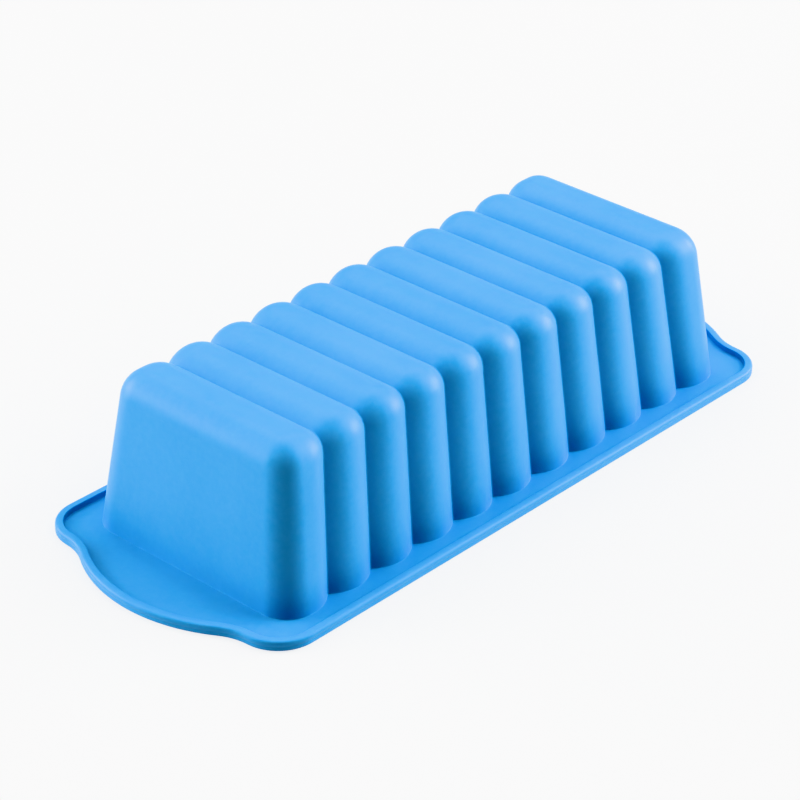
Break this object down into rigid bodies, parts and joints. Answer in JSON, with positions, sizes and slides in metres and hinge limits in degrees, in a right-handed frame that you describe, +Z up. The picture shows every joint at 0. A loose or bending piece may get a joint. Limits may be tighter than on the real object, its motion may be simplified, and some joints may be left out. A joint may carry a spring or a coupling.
{
  "type": "ribbed silicone soap loaf mould",
  "caption": "One-piece ribbed silicone loaf mould for casting a slab of soap bars, standing mouth down, with drafted walls, rounded pull tabs and a raised bead along its rim.",
  "frame": {"origin": "middle of the mouth plane, on the surface that the rim rests on", "axes": "+Z up from the mouth to the base of the mould, +X along the loaf, +Y across it towards the back long wall"},
  "size_m": [0.2764, 0.1116, 0.0584],
  "materials": {
    "silicone": "satin"
  },
  "bodies": {
    "root": {"base_panel": "silicone", "long_wall_front": "silicone", "long_wall_back": "silicone", "end_wall_left": "silicone", "end_wall_right": "silicone", "flange": "silicone", "pull_tab_left": "silicone", "pull_tab_right": "silicone", "rim_bead": "silicone"}
  },
  "joints": []
}
